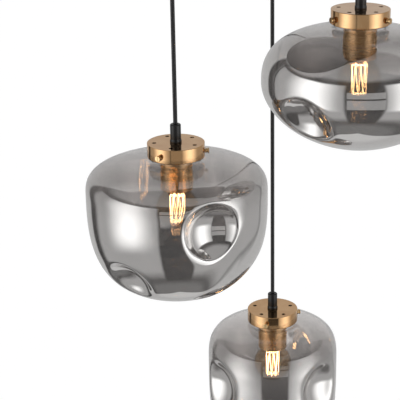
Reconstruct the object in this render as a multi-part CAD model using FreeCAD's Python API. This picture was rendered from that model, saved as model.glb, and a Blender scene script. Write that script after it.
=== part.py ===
"""Cluster pendant: a round ceiling canopy and three lamps of dented smoked glass, hung on
cords of different lengths. Millimetres, +Z up, origin at the centre of the ceiling face."""
import FreeCAD
import Part

import math
import os

# ---------------------------------------------------------------- driving dimensions (mm)

# Ceiling canopy, a shallow pan of sheet steel, and the flat bracket it screws to
canopy_radius = 177.5
canopy_height = 36.0
canopy_sheet = 1.2
canopy_edge_radius = 4.0
exit_circle_radius = 145.0
bracket_width = 30.0
bracket_sheet = 2.0
bracket_flange = 16.0
bracket_end_gap = 0.5
ceiling_slot_spacing = 70.0
ceiling_slot_length = 20.0
ceiling_slot_width = 5.0
cable_hole_radius = 9.0
side_screw_drop = 9.0
side_screw_radius = 2.0
side_screw_length = 12.0
side_screw_head_radius = 4.0
side_screw_head = 2.5
screw_slot = 0.8

# Cord and the grips that hold it
cord_radius = 3.0
grip_radius = 7.5
grip_length = 26.5
grip_foot_radius = 8.2
grip_foot = 2.5
grip_chamfer = 1.2
canopy_grip_length = 18.0
stem_thread_radius = 5.0
stem_in_grip = 8.0
clamp_screw_radius = 1.45
clamp_screw_height = 14.0
clamp_head_radius = 2.4
clamp_head = 1.0
nut_flats = 14.0
nut_height = 4.5

# Terminal block and the stripped ends of the cords inside the canopy
block_length = 30.0
block_width = 18.0
block_height = 13.0
block_place = 75.0
way_pitch = 10.0
way_radius = 2.5
way_drop = 7.0
clamp_sleeve_wall = 0.55
terminal_screw_radius = 1.5
conductor_radius = 0.7
conductor_layer = 0.9
bend_run = 16.6
jacket_ends = {"bowl": (-29.0, -40.0), "oval": (27.0, -42.0), "jar": (-11.0, 52.0)}
core_spread = 1.0
core_lead = 6.0
core_turn = 15.0
core_depth = 3.0
earth_place = -60.0
earth_stud_radius = 2.0
earth_stud_length = 10.0
earth_nut_flats = 7.0
earth_nut_height = 3.2

# Brass cap over the shade's neck
cap_radius = 40.0
cap_height = 20.0
cap_wall = 1.5
cap_edge_radius = 0.8
vent_count = 5
vent_radius = 3.0
vent_circle_radius = 30.0
thumbscrew_count = 3
thumbscrew_radius = 2.0
thumbscrew_drop = 12.0
thumbscrew_head_radius = 4.0
thumbscrew_waist_radius = 2.8
thumbscrew_rim = 1.6
thumbscrew_waist = 1.8
thumbscrew_stand_off = 0.8

# Brass sleeve round the lampholder
sleeve_radius = 22.5
sleeve_wall = 1.0
sleeve_end = 66.7

# Lampholder and its contacts
holder_radius = 20.0
holder_top_wall = 5.0
holder_end = 58.0
holder_shoulder = 4.0
contact_sheet = 0.8
contact_shell_wall = 0.6
contact_shell_start = 28.0
contact_shell_end = 56.0
contact_width = 4.0
contact_boss_radius = 1.5
tongue_reach = 2.5

# Bulb with a screw cap
bulb_radius = 30.0
bulb_centre = 96.0
bulb_wall = 0.8
bulb_neck_radius = 12.6
bulb_neck_end = 50.0
bulb_cap_radius = 13.2
bulb_cap_root_radius = 12.15
bulb_cap_wall = 0.4
bulb_cap_skirt = 4.0
bulb_cap_end = 47.0
bulb_tip = 20.0
bulb_contact_radius = 8.0
bulb_contact_height = 3.5
thread_pitch = 3.6
thread_turns = 4
filament_radius = 10.5
filament_half_height = 20.0
filament_centre = 97.0
filament_loops = 9
filament_wire_radius = 0.25
hook_wire_radius = 0.3
stem_rod_radius = 1.5
stem_cone_end = 58.0
lead_start = -62.0

# Glass shades and the soft band round each neck
glass_wall = 3.0
neck_radius = 35.0
neck_top = 3.0
neck_end = 23.5
neck_flare = 8.0
band_thickness = 0.95
band_top = 6.0
band_height = 12.0

# Clearances
running = 0.05
apart = 0.3

# Fineness of the glass: columns of poles round it, spans down the neck's skin and down the
# body's, points on each stretch of the outline, and the turn that shows a stretch's slope
poles_around = 64
neck_spans = 14
body_spans = 44
outline_points = 200
small_turn = 1e-4

# Each lamp: where its cord leaves the canopy (degrees from +X), how far the cap's top face
# hangs under the ceiling, the first vent and the first thumbscrew, and the glass: greatest
# radius, its depth, the height above and below it, how square each half is, and the radius
# of the flat bottom. A dent is the mark of a ball pressed into the hot glass: direction,
# distance from the axis, height of the ball's centre, its radius and the softness of its rim.
lamps = {
    "bowl": {
        "azimuth": 208.0, "drop": 394.0, "first_vent": -27.0, "first_screw": 0.0,
        "glass": {"radius": 127.0, "middle": -72.0, "above": 45.0, "below": 147.0,
                  "square_above": 3.2, "square_below": 2.9, "flat": 12.0},
        "dents": [(-64.0, 145.0, -92.0, 46.0, 12.0), (-126.0, 132.0, -192.0, 48.5, 12.0),
                  (-36.0, 473.0, -322.0, 400.0, 20.0), (50.0, 250.0, -70.0, 131.0, 10.0)],
    },
    "oval": {
        "azimuth": 328.0, "drop": 205.0, "first_vent": 21.0, "first_screw": 87.0,
        "glass": {"radius": 133.0, "middle": -101.0, "above": 76.0, "below": 90.0,
                  "square_above": 2.6, "square_below": 1.85, "flat": 12.0},
        "dents": [(-128.5, 145.0, -144.0, 49.0, 12.0), (-128.5, 137.0, 36.0, 94.0, 12.0),
                  (20.0, 190.0, -110.0, 75.0, 12.0)],
    },
    "jar": {
        "azimuth": 88.0, "drop": 741.0, "first_vent": 18.0, "first_screw": 16.0,
        "glass": {"radius": 104.0, "middle": -91.0, "above": 67.0, "below": 175.0,
                  "square_above": 3.7, "square_below": 3.35, "flat": 12.0},
        "dents": [(-146.0, 139.0, -114.0, 57.0, 12.0), (-40.5, 139.0, -112.0, 57.0, 12.0),
                  (120.0, 124.0, -243.0, 53.0, 12.0), (70.0, 141.0, -120.0, 53.0, 12.0)],
    },
}

# ---------------------------------------------------------------- values that follow

z_axis = FreeCAD.Vector(0, 0, 1)
centre = FreeCAD.Vector(0, 0, 0)
canopy_inner_radius = canopy_radius - canopy_sheet
mouth_depth = canopy_height + canopy_grip_length
cord_bore_radius = cord_radius + running
cord_pocket_radius = cord_radius + apart
stem_hole_radius = stem_thread_radius + running
band_radius = neck_radius + running + band_thickness
tip_reach = band_radius + apart
sleeve_top = cap_wall + nut_height
lower_nut_top = sleeve_top + sleeve_wall
holder_top = lower_nut_top + nut_height + apart
holder_floor = holder_top + holder_top_wall
nipple_end = holder_floor - sleeve_wall
cord_end = holder_top - apart
holder_bore_radius = bulb_cap_radius + contact_shell_wall + apart + 2 * running
contact_shell_radius = holder_bore_radius - running
stem_nut_top = canopy_height - canopy_sheet - nut_height
way_depth = bracket_sheet + way_drop
way_places = [block_place + way_pitch * step for step in (-1, 0, 1)]
block_screw_place = block_place - way_pitch / 2
block_bottom = bracket_sheet + block_height
screw_rows = (-block_width / 4, block_width / 4)
bulb_skirt_top = bulb_cap_skirt - bulb_cap_end


# ---------------------------------------------------------------- helpers

def arc_step(middle, radius, first, last):
    """The middle and end points of an arc in an (r, z) outline, angles in degrees."""
    step = []
    for angle in ((first + last) / 2, last):
        turn = math.radians(angle)
        step += [middle[0] + radius * math.cos(turn), middle[1] + radius * math.sin(turn)]
    return step


def turned(start, steps):
    """A solid turned round Z from an (r, z) outline; four numbers in a step make an arc."""
    edges = []
    here = FreeCAD.Vector(start[0], 0, start[1])
    first = here
    for step in steps:
        end = FreeCAD.Vector(step[-2], 0, step[-1])
        if len(step) == 4:
            edges.append(Part.Arc(here, FreeCAD.Vector(step[0], 0, step[1]), end).toShape())
        else:
            edges.append(Part.LineSegment(here, end).toShape())
        here = end
    edges.append(Part.LineSegment(here, first).toShape())
    return Part.Face(Part.Wire(edges)).revolve(centre, z_axis, 360)


def ring(inner, outer, top, bottom):
    """A plain tube round Z between two heights."""
    return turned((inner, top), [(outer, top), (outer, bottom), (inner, bottom)])


def rod(radius, top, bottom, x=0.0, y=0.0):
    """A plain upright cylinder between two heights."""
    return Part.makeCylinder(radius, top - bottom, FreeCAD.Vector(x, y, bottom), z_axis)


def rod_between(start, end, radius):
    """A plain cylinder from one point to another."""
    return Part.makeCylinder(radius, (end - start).Length, start, end - start)


def block(low, high):
    """A box between two corners."""
    size = [top - bottom for top, bottom in zip(high, low)]
    return Part.makeBox(*size, FreeCAD.Vector(*low))


def nut(flats, top, height, bore_radius, x=0.0, y=0.0):
    """A hexagonal nut on an upright thread."""
    corner = flats / 2 / math.cos(math.pi / 6)
    points = []
    for side in range(7):
        turn = math.radians(60 * side)
        points.append(FreeCAD.Vector(x + corner * math.cos(turn), y + corner * math.sin(turn),
                                     top - height))
    prism = Part.Face(Part.makePolygon(points)).extrude(FreeCAD.Vector(0, 0, height))
    return prism.cut(rod(bore_radius, top + 1, top - height - 1, x, y))


def turned_about(shape, degrees):
    """A copy turned round the Z axis."""
    copy = shape.copy()
    copy.rotate(centre, z_axis, degrees)
    return copy


def placed(shape, x, y, z):
    """A copy moved to its place."""
    copy = shape.copy()
    copy.translate(FreeCAD.Vector(x, y, z))
    return copy


def tube(points, radius, name):
    """A round tube along straight runs joined by arcs as large as the runs allow."""
    corners = [FreeCAD.Vector(*point) for point in points]
    edges = []
    here = corners[0]
    radii = []
    for before, corner, after in zip(corners, corners[1:], corners[2:]):
        back = (before - corner).normalize()
        ahead = (after - corner).normalize()
        half_turn = (math.pi - back.getAngle(ahead)) / 2
        trim = 0.45 * min((before - corner).Length, (after - corner).Length)
        bend = trim / math.tan(half_turn)
        radii.append(bend)
        inward = (back + ahead).normalize()
        middle = corner + inward * (bend / math.cos(half_turn) - bend)
        edges.append(Part.LineSegment(here, corner + back * trim).toShape())
        here = corner + ahead * trim
        edges.append(Part.Arc(corner + back * trim, middle, here).toShape())
    edges.append(Part.LineSegment(here, corners[-1]).toShape())
    path = Part.Wire(edges)
    section = Part.Wire(Part.makeCircle(radius, corners[0], corners[1] - corners[0]))
    solid = path.makePipeShell([section], True, False)
    share = solid.Volume / (math.pi * radius ** 2 * path.Length)
    print(name, "length", round(path.Length, 1), "bends", [round(bend, 1) for bend in radii],
          "volume share", round(share, 4))
    return solid


def export(name, solids):
    """Write one node; several solids make a group."""
    shape = solids[0] if len(solids) == 1 else Part.makeCompound(solids)
    for solid in shape.Solids:
        assert solid.isValid() and solid.Volume > 0, name
    shape.exportStep("parts/" + name + ".step")
    print(name, len(shape.Solids), round(shape.Volume / 1000, 2), "cm3")


def exit_of(lamp):
    """Where a lamp's cord leaves the canopy, seen from above."""
    turn = math.radians(lamps[lamp]["azimuth"])
    return exit_circle_radius * math.cos(turn), exit_circle_radius * math.sin(turn)


# ---------------------------------------------------------------- canopy and what it holds

def make_canopy():
    """Pan with a rounded lower edge, a hole for each grip and two for the side screws."""
    corner = (canopy_radius - canopy_edge_radius, canopy_edge_radius - canopy_height)
    inner_edge = canopy_edge_radius - canopy_sheet
    shell = turned((canopy_radius, 0), [
        (canopy_radius, corner[1]),
        arc_step(corner, canopy_edge_radius, 0, -90),
        (0, -canopy_height),
        (0, canopy_sheet - canopy_height),
        (corner[0], canopy_sheet - canopy_height),
        arc_step(corner, inner_edge, -90, 0),
        (canopy_inner_radius, 0),
    ])
    for lamp in lamps:
        x, y = exit_of(lamp)
        shell = shell.cut(rod(stem_hole_radius, 0, -canopy_height - 1, x, y))
    across = Part.makeCylinder(side_screw_radius + running, 2 * canopy_radius + 2,
                               FreeCAD.Vector(-canopy_radius - 1, 0, -side_screw_drop),
                               FreeCAD.Vector(1, 0, 0))
    return shell.cut(across)


def bracket_end():
    """How far the bracket's turned-down ends reach from the centre."""
    return math.sqrt(canopy_inner_radius ** 2 - (bracket_width / 2) ** 2) - bracket_end_gap


def make_bracket():
    """Flat strip on the ceiling with turned-down ends, two slots and a cable hole."""
    half = bracket_width / 2
    end = bracket_end()
    strip = block((-end, -half, -bracket_sheet), (end, half, 0))
    for side in (-1, 1):
        low = min(side * end, side * (end - bracket_sheet))
        flange = block((low, -half, -bracket_flange), (low + bracket_sheet, half, -bracket_sheet))
        strip = strip.fuse(flange)
        middle = side * ceiling_slot_spacing / 2
        straight = (ceiling_slot_length - ceiling_slot_width) / 2
        slot = block((middle - straight, -ceiling_slot_width / 2, -bracket_sheet - 1),
                     (middle + straight, ceiling_slot_width / 2, 1))
        for place in (middle - straight, middle + straight):
            slot = slot.fuse(rod(ceiling_slot_width / 2, 1, -bracket_sheet - 1, place))
        strip = strip.cut(slot)
    across = Part.makeCylinder(side_screw_radius + running, 2 * end + 2,
                               FreeCAD.Vector(-end - 1, 0, -side_screw_drop), FreeCAD.Vector(1, 0, 0))
    strip = strip.cut(across)
    strip = strip.cut(rod(cable_hole_radius, 1, -bracket_sheet - 1))
    strip = strip.cut(rod(earth_stud_radius + running, 1, -bracket_sheet - 1, earth_place))
    strip = strip.cut(rod(terminal_screw_radius + running, 1, -bracket_sheet - 1, block_screw_place))
    return strip.removeSplitter()


def make_canopy_screws():
    """The two side screws that hold the canopy to the bracket's ends."""
    screws = []
    for side in (-1, 1):
        outward = FreeCAD.Vector(side, 0, 0)
        seat = FreeCAD.Vector(side * canopy_radius, 0, -side_screw_drop)
        head = Part.makeCylinder(side_screw_head_radius, side_screw_head, seat, outward)
        shank = Part.makeCylinder(side_screw_radius, side_screw_length, seat, outward * -1)
        ends = sorted((side * (canopy_radius + side_screw_head / 2),
                       side * (canopy_radius + side_screw_head + 1)))
        half = screw_slot / 2
        slot = block((ends[0], -side_screw_head_radius - 1, -side_screw_drop - half),
                     (ends[1], side_screw_head_radius + 1, -side_screw_drop + half))
        screws.append(head.fuse(shank).cut(slot))
    return screws


def make_canopy_grip():
    """Cord grip under the canopy, one piece with the threaded stem that passes through it."""
    body = turned((cord_pocket_radius, -stem_nut_top), [
        (stem_thread_radius, -stem_nut_top),
        (stem_thread_radius, -canopy_height),
        (grip_foot_radius, -canopy_height),
        (grip_foot_radius, -canopy_height - grip_foot),
        (grip_radius, -canopy_height - 2 * grip_foot),
        (grip_radius, grip_chamfer - mouth_depth),
        (grip_radius - grip_chamfer, -mouth_depth),
        (cord_pocket_radius, -mouth_depth),
    ])
    return body


def make_bracket_screws():
    """Earth stud with its two nuts, and the screw that holds the terminal block."""
    stud = rod(earth_stud_radius, -apart, -earth_stud_length, earth_place)
    upper = nut(earth_nut_flats, -bracket_sheet, earth_nut_height, earth_stud_radius + running, earth_place)
    lower_top = -bracket_sheet - earth_nut_height - apart
    lower = nut(earth_nut_flats, lower_top, earth_nut_height, earth_stud_radius + running, earth_place)
    fixing = rod(terminal_screw_radius, -apart, -block_bottom, block_screw_place)
    return [stud, upper, lower, fixing]


def make_terminal_block():
    """Insulating block with three ways, a screw hole into each and one fixing hole."""
    body = block((block_place - block_length / 2, -block_width / 2, -block_bottom),
                 (block_place + block_length / 2, block_width / 2, -bracket_sheet))
    for way in way_places:
        body = body.cut(Part.makeCylinder(way_radius, block_width + 2,
                                          FreeCAD.Vector(way, -block_width / 2 - 1, -way_depth),
                                          FreeCAD.Vector(0, 1, 0)))
        for place in screw_rows:
            body = body.cut(rod(terminal_screw_radius + running, -way_depth, -block_bottom - 1, way, place))
    return body.cut(rod(terminal_screw_radius + running, 0, -block_bottom - 1, block_screw_place))


def make_terminal_clamps():
    """A brass tube in each way of the block, and the two screws that bear on it."""
    parts = []
    outer = way_radius - running
    for way in way_places:
        start = FreeCAD.Vector(way, -block_width / 2 + 1, -way_depth)
        along = FreeCAD.Vector(0, 1, 0)
        sleeve = Part.makeCylinder(outer, block_width - 2, start, along)
        parts.append(sleeve.cut(Part.makeCylinder(outer - clamp_sleeve_wall, block_width - 2, start, along)))
        for place in screw_rows:
            parts.append(rod(terminal_screw_radius, -way_depth - outer - running, -block_bottom, way, place))
    return parts


def make_inner_wiring():
    """Each cord from its grip to the terminal block, with its two cores laid into the ways."""
    layers = {"bowl": -conductor_layer, "oval": conductor_layer, "jar": 0.0}
    core_ways = {"bowl": (0, 1), "oval": (0, 1), "jar": (1, 0)}
    solids = []
    slope = bend_run / math.sqrt(2)
    for lamp, layer in layers.items():
        x, y = exit_of(lamp)
        level = layer - way_depth
        end_x, end_y = jacket_ends[lamp]
        end_x += block_place
        ahead = FreeCAD.Vector(end_x - x, end_y - y, 0).normalize()
        leftward = FreeCAD.Vector(-ahead.y, ahead.x, 0)
        start = cord_radius + apart - mouth_depth
        solids.append(tube([
            (x, y, start),
            (x, y, level - slope),
            (x + slope * ahead.x, y + slope * ahead.y, level),
            (end_x, end_y, level),
        ], cord_radius, lamp + " inner cord"))
        side = 1 if end_y > 0 else -1
        for lateral, way in zip((1, -1), core_ways[lamp]):
            first = FreeCAD.Vector(end_x, end_y, level) + leftward * lateral * core_spread
            second = first + ahead * core_lead
            solids.append(tube([
                tuple(first),
                tuple(second),
                (way_places[way], side * (block_width / 2 + core_turn), level),
                (way_places[way], side * core_depth, level),
            ], conductor_radius, lamp + " core"))
    return solids


# ---------------------------------------------------------------- one lamp, cap's top face at z = 0

def make_hanging_cord(drop):
    """The cord from its pivot in the canopy grip's mouth down into the lamp's stem."""
    top = drop - mouth_depth
    straight = rod(cord_radius, top, -cord_end)
    dome = Part.makeSphere(cord_radius, FreeCAD.Vector(0, 0, top))
    return straight.fuse(dome).removeSplitter()


def make_cord_grip():
    """Grip on the cap: flared foot, chamfered top, stepped bore and a clamp screw's hole."""
    body = turned((cord_bore_radius, grip_length), [
        (grip_radius - grip_chamfer, grip_length),
        (grip_radius, grip_length - grip_chamfer),
        (grip_radius, 2 * grip_foot),
        (grip_foot_radius, grip_foot),
        (grip_foot_radius, 0),
        (stem_hole_radius, 0),
        (stem_hole_radius, stem_in_grip + running),
        (cord_bore_radius, stem_in_grip + running),
    ])
    hole = Part.makeCylinder(clamp_screw_radius + running, grip_radius + 1,
                             FreeCAD.Vector(0, 0, clamp_screw_height), FreeCAD.Vector(0, 1, 0))
    return body.cut(hole)


def make_clamp_screw():
    """Slotted screw through the back of the grip, its tip just short of the cord."""
    tip = cord_radius + apart
    seat = grip_radius + running
    end = seat + clamp_head
    reach = clamp_head_radius + 1
    half = screw_slot / 3
    outward = FreeCAD.Vector(0, 1, 0)
    shank = Part.makeCylinder(clamp_screw_radius, seat - tip,
                              FreeCAD.Vector(0, tip, clamp_screw_height), outward)
    head = Part.makeCylinder(clamp_head_radius, clamp_head,
                             FreeCAD.Vector(0, seat, clamp_screw_height), outward)
    slot = block((-reach, end - clamp_head / 2, clamp_screw_height - half),
                 (reach, end + 1, clamp_screw_height + half))
    return shank.fuse(head).cut(slot)


def make_cap(first_vent, first_screw):
    """Brass cup with vent holes in its top and a threaded hole for each thumbscrew."""
    corner = (cap_radius - cap_edge_radius, -cap_edge_radius)
    cup = turned((stem_hole_radius, 0), [
        (corner[0], 0),
        arc_step(corner, cap_edge_radius, 90, 0),
        (cap_radius, -cap_height),
        (cap_radius - cap_wall, -cap_height),
        (cap_radius - cap_wall, -cap_wall),
        (stem_hole_radius, -cap_wall),
    ])
    for count in range(vent_count):
        turn = math.radians(first_vent + 360 * count / vent_count)
        cup = cup.cut(rod(vent_radius, 1, -cap_wall - 1,
                          vent_circle_radius * math.cos(turn), vent_circle_radius * math.sin(turn)))
    for count in range(thumbscrew_count):
        hole = Part.makeCylinder(thumbscrew_radius + running, cap_radius + 1,
                                 FreeCAD.Vector(0, 0, -thumbscrew_drop), FreeCAD.Vector(1, 0, 0))
        cup = cup.cut(turned_about(hole, first_screw + 360 * count / thumbscrew_count))
    return cup


def make_thumbscrew(degrees):
    """Screw with a waisted, slotted head; its tip stops just short of the neck's band."""
    seat = cap_radius + thumbscrew_stand_off
    waist = seat + thumbscrew_rim
    rim = waist + thumbscrew_waist
    end = rim + thumbscrew_rim
    screw = turned((0, tip_reach), [
        (thumbscrew_radius, tip_reach),
        (thumbscrew_radius, seat),
        (thumbscrew_head_radius, seat),
        (thumbscrew_head_radius, waist),
        (thumbscrew_waist_radius, waist),
        (thumbscrew_waist_radius, rim),
        (thumbscrew_head_radius, rim),
        (thumbscrew_head_radius, end),
        (0, end),
    ])
    screw = screw.cut(block((-thumbscrew_head_radius - 1, -screw_slot / 2, end - thumbscrew_rim / 2),
                            (thumbscrew_head_radius + 1, screw_slot / 2, end + 1)))
    screw.rotate(centre, FreeCAD.Vector(0, 1, 0), 90)
    return turned_about(placed(screw, 0, 0, -thumbscrew_drop), degrees)


def make_nipple_and_nuts():
    """Threaded stem from the grip to the lampholder, and the two nuts on it."""
    nipple = ring(cord_pocket_radius, stem_thread_radius, stem_in_grip, -nipple_end)
    upper = nut(nut_flats, -cap_wall, nut_height, stem_hole_radius)
    lower = nut(nut_flats, -lower_nut_top, nut_height, stem_hole_radius)
    return [nipple, upper, lower]


def make_sleeve():
    """Open brass tube hung from its top disc, round the lampholder."""
    corner = (sleeve_radius - sleeve_wall, -sleeve_top - sleeve_wall)
    return turned((stem_hole_radius, -sleeve_top), [
        (corner[0], -sleeve_top),
        arc_step(corner, sleeve_wall, 90, 0),
        (sleeve_radius, -sleeve_end),
        (sleeve_radius - sleeve_wall, -sleeve_end),
        (sleeve_radius - sleeve_wall, -lower_nut_top),
        (stem_hole_radius, -lower_nut_top),
    ])


def make_lampholder():
    """Cup with a threaded top and a bore that takes the bulb's cap."""
    return turned((stem_hole_radius, -holder_top), [
        (holder_radius - holder_shoulder, -holder_top),
        (holder_radius, -holder_top - holder_shoulder),
        (holder_radius, -holder_end),
        (holder_bore_radius, -holder_end),
        (holder_bore_radius, -holder_floor),
        (stem_hole_radius, -holder_floor),
    ])


def make_socket_contacts():
    """Screw shell with its lug, and the tongue that the bulb's tip presses."""
    inner = contact_shell_radius - contact_shell_wall
    shell = ring(inner, contact_shell_radius, -contact_shell_start, -contact_shell_end)
    half = contact_width / 2
    under = -holder_floor - contact_sheet
    strip_zone = block((0, -half, -contact_shell_start), (holder_bore_radius, half, -holder_floor))
    strip = ring(inner, contact_shell_radius, -holder_floor, -contact_shell_start).common(strip_zone)
    lug = block((half, -half, under), (inner + contact_shell_wall / 2, half, -holder_floor))
    tongue = block((tongue_reach - holder_bore_radius, -half, under),
                   (contact_boss_radius, half, -holder_floor))
    boss = rod(contact_boss_radius, -holder_floor, apart - bulb_tip)
    return [shell.fuse([strip, lug]).removeSplitter(), tongue.fuse(boss).removeSplitter()]


def make_conductors():
    """The cord's two stripped cores, from its end to the two contacts."""
    reach = cord_pocket_radius - conductor_radius - running
    return [rod(conductor_radius, -cord_end - apart, -holder_floor, side * reach) for side in (-1, 1)]


def bulb_skin(inset):
    """The bulb's outline moved inward: neck, hollow curve and globe, tangent to each other."""
    flare = bulb_centre - bulb_neck_end
    curve = (bulb_neck_radius ** 2 + flare ** 2 - bulb_radius ** 2) / 2 / (bulb_radius - bulb_neck_radius)
    curve_centre = (bulb_neck_radius + curve, -bulb_neck_end)
    slope = math.degrees(math.atan2(flare, curve_centre[0]))
    globe = bulb_radius - inset
    hollow = curve + inset
    start = (bulb_neck_radius - inset, bulb_skirt_top - bulb_cap_wall - running)
    down = [
        (start[0], -bulb_neck_end),
        arc_step(curve_centre, hollow, 180, 180 + slope),
        arc_step((0, -bulb_centre), globe, slope, -90),
    ]
    up = [
        arc_step((0, -bulb_centre), globe, -90, slope),
        arc_step(curve_centre, hollow, 180 + slope, 180),
        start,
    ]
    return start, down, up


def make_bulb_glass():
    """Thin envelope open at its neck, and the glass stem that carries the filament."""
    outer_start, outer_down, _ = bulb_skin(0.0)
    inner_start, _, inner_up = bulb_skin(bulb_wall)
    envelope = turned(outer_start, outer_down + [(0, bulb_wall - bulb_centre - bulb_radius)] + inner_up)
    foot = inner_start[0] - running
    rod_end = filament_centre + filament_half_height + 2 * stem_rod_radius
    stem = turned((0, -bulb_cap_end), [
        (foot, -bulb_cap_end),
        (foot, -bulb_cap_end - 1),
        (2 * stem_rod_radius, -stem_cone_end),
        (stem_rod_radius, filament_half_height + 2 * stem_rod_radius - filament_centre),
        (stem_rod_radius, -rod_end),
        (0, -rod_end),
    ])
    return [envelope, stem]


def make_bulb_cap():
    """Screw shell with rolled turns, and the insulated contact at its end."""
    root = bulb_cap_root_radius
    crest = bulb_cap_radius
    steps = [(crest, bulb_skirt_top), (root, bulb_skirt_top)]
    level = bulb_skirt_top
    for _ in range(thread_turns):
        steps.append((crest, level + thread_pitch / 2, root, level + thread_pitch))
        level += thread_pitch
    shoulder = -bulb_tip - bulb_contact_height
    steps += [
        (root, level + bulb_cap_wall),
        (bulb_contact_radius, shoulder),
        (bulb_contact_radius - bulb_cap_wall, shoulder),
        (root - bulb_cap_wall, level),
        (root - bulb_cap_wall, bulb_skirt_top - bulb_cap_wall),
        (crest - bulb_cap_wall, bulb_skirt_top - bulb_cap_wall),
        (crest - bulb_cap_wall, -bulb_cap_end),
    ]
    shell = turned((crest, -bulb_cap_end), steps)
    contact = turned((0, -bulb_tip), [
        (bulb_contact_radius / 2, -bulb_tip),
        (bulb_contact_radius / 2, -bulb_tip - bulb_contact_height / 3),
        (bulb_contact_radius - bulb_cap_wall, shoulder + bulb_cap_wall),
        (bulb_contact_radius - bulb_cap_wall, shoulder),
        (0, shoulder),
    ])
    return [shell, contact]


def make_filament():
    """Cage filament: a zigzag of straight wire between two stars of hooks, and its leads."""
    wires = []
    levels = (filament_half_height - filament_centre, -filament_half_height - filament_centre)
    corners = []
    for loop in range(filament_loops):
        for level, shift in zip(levels, (0.0, 0.5)):
            turn = 2 * math.pi * (loop + shift) / filament_loops
            outward = FreeCAD.Vector(math.cos(turn), math.sin(turn), 0)
            foot = outward * (stem_rod_radius + running) + FreeCAD.Vector(0, 0, level)
            corner = outward * filament_radius + FreeCAD.Vector(0, 0, level)
            tip = corner + outward * filament_wire_radius
            wires.append(rod_between(foot, tip, hook_wire_radius))
            corners.append(corner)
    corners.pop()
    for start, end in zip(corners, corners[1:]):
        wires.append(rod_between(start, end, filament_wire_radius))
    for corner in (corners[0], corners[-1]):
        inner = FreeCAD.Vector(corner.x, corner.y, 0).normalize() * (2 * stem_rod_radius)
        inner.z = lead_start
        wires.append(rod_between(inner, corner, filament_wire_radius))
    return [wires[0].fuse(wires[1:])]


# ---------------------------------------------------------------- glass shade

def superellipse(glass, angle):
    """A point of the body's outline; the angle runs from 90 degrees at the top to -90."""
    square = glass["square_above"] if angle >= 0 else glass["square_below"]
    height = glass["above"] if angle >= 0 else -glass["below"]
    reach = glass["radius"] * math.cos(angle) ** (2 / square)
    return reach, glass["middle"] + height * abs(math.sin(angle)) ** (2 / square)


def shade_outline(glass):
    """Close (r, z) points down the outer face: neck and flare, then shoulder and bowl."""
    flare_radius = neck_radius + neck_flare
    first = math.acos((flare_radius / glass["radius"]) ** (glass["square_above"] / 2))
    last = -math.acos((glass["flat"] / glass["radius"]) ** (glass["square_below"] / 2))
    start = (neck_radius, -neck_end)
    end = superellipse(glass, first)
    beyond = superellipse(glass, first - small_turn)
    step = math.dist(beyond, end)
    reach = math.dist(end, start)
    start_slope = (0, -reach)
    end_slope = [reach * (beyond[axis] - end[axis]) / step for axis in (0, 1)]
    neck = [(neck_radius, -neck_top)]
    for row in range(outline_points):
        u = row / outline_points
        weights = (2 * u ** 3 - 3 * u ** 2 + 1, u ** 3 - 2 * u ** 2 + u,
                   3 * u ** 2 - 2 * u ** 3, u ** 3 - u ** 2)
        pulls = (start, start_slope, end, end_slope)
        neck.append([sum(weight * pull[axis] for weight, pull in zip(weights, pulls))
                     for axis in (0, 1)])
    body = [superellipse(glass, first * (1 - row / outline_points)) for row in range(outline_points)]
    body += [superellipse(glass, last * row / outline_points) for row in range(outline_points + 1)]
    return neck + body[:1], body


def evenly(points, spans):
    """The outline's points again, set so that a cubic skin of so many spans keeps one pace."""
    along = [0.0]
    for before, after in zip(points, points[1:]):
        along.append(along[-1] + math.dist(before, after))
    rows = []
    place = 0
    for knot in (0, 1 / 3, *range(1, spans), spans - 1 / 3, spans):
        wanted = along[-1] * knot / spans
        while place < len(points) - 2 and along[place + 1] < wanted:
            place += 1
        share = (wanted - along[place]) / (along[place + 1] - along[place])
        before, after = points[place:place + 2]
        rows.append([before[axis] + (after[axis] - before[axis]) * share for axis in (0, 1)])
    return rows


def moved_inward(points, wall):
    """The outline of the glass's inner face, one wall inside the outer one."""
    inner = [(points[0][0] - wall, points[0][1])]
    for before, here, after in zip(points, points[1:], points[2:]):
        size = math.dist(before, after)
        inner.append((here[0] + wall * (after[1] - before[1]) / size,
                      here[1] - wall * (after[0] - before[0]) / size))
    inner.append((points[-1][0], points[-1][1] + wall))
    return inner


def pressed(point, dents, wall):
    """A point of the hot glass after each ball has been pressed in; rims are rounded."""
    for azimuth, distance, height, ball, soft in dents:
        turn = math.radians(azimuth)
        ball_centre = FreeCAD.Vector(distance * math.cos(turn), distance * math.sin(turn), height)
        away = point - ball_centre
        size = away.Length
        ball += wall
        blend = max(soft - abs(size - ball), 0) / soft
        point = ball_centre + away * ((max(size, ball) + blend ** 2 * soft / 4) / size)
    return point


def glass_surface(rows, dents, wall):
    """A smooth closed skin through the outline turned round Z, with the dents pressed in."""
    step = 2 * math.pi / poles_around
    swell = 3 / (2 + math.cos(step))
    poles = []
    for column in range(poles_around):
        turn = column * step
        line = []
        for radius, height in rows:
            point = FreeCAD.Vector(radius * math.cos(turn), radius * math.sin(turn), height)
            point = pressed(point, dents, wall)
            line.append(FreeCAD.Vector(point.x * swell, point.y * swell, point.z))
        poles.append(line)
    spans = len(rows) - 3
    surface = Part.BSplineSurface()
    surface.buildFromPolesMultsKnots(
        poles, [1] * (poles_around + 1), [4] + [1] * (spans - 1) + [4],
        list(range(poles_around + 1)), list(range(spans + 1)), True, False, 3, 3)
    return surface


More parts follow.
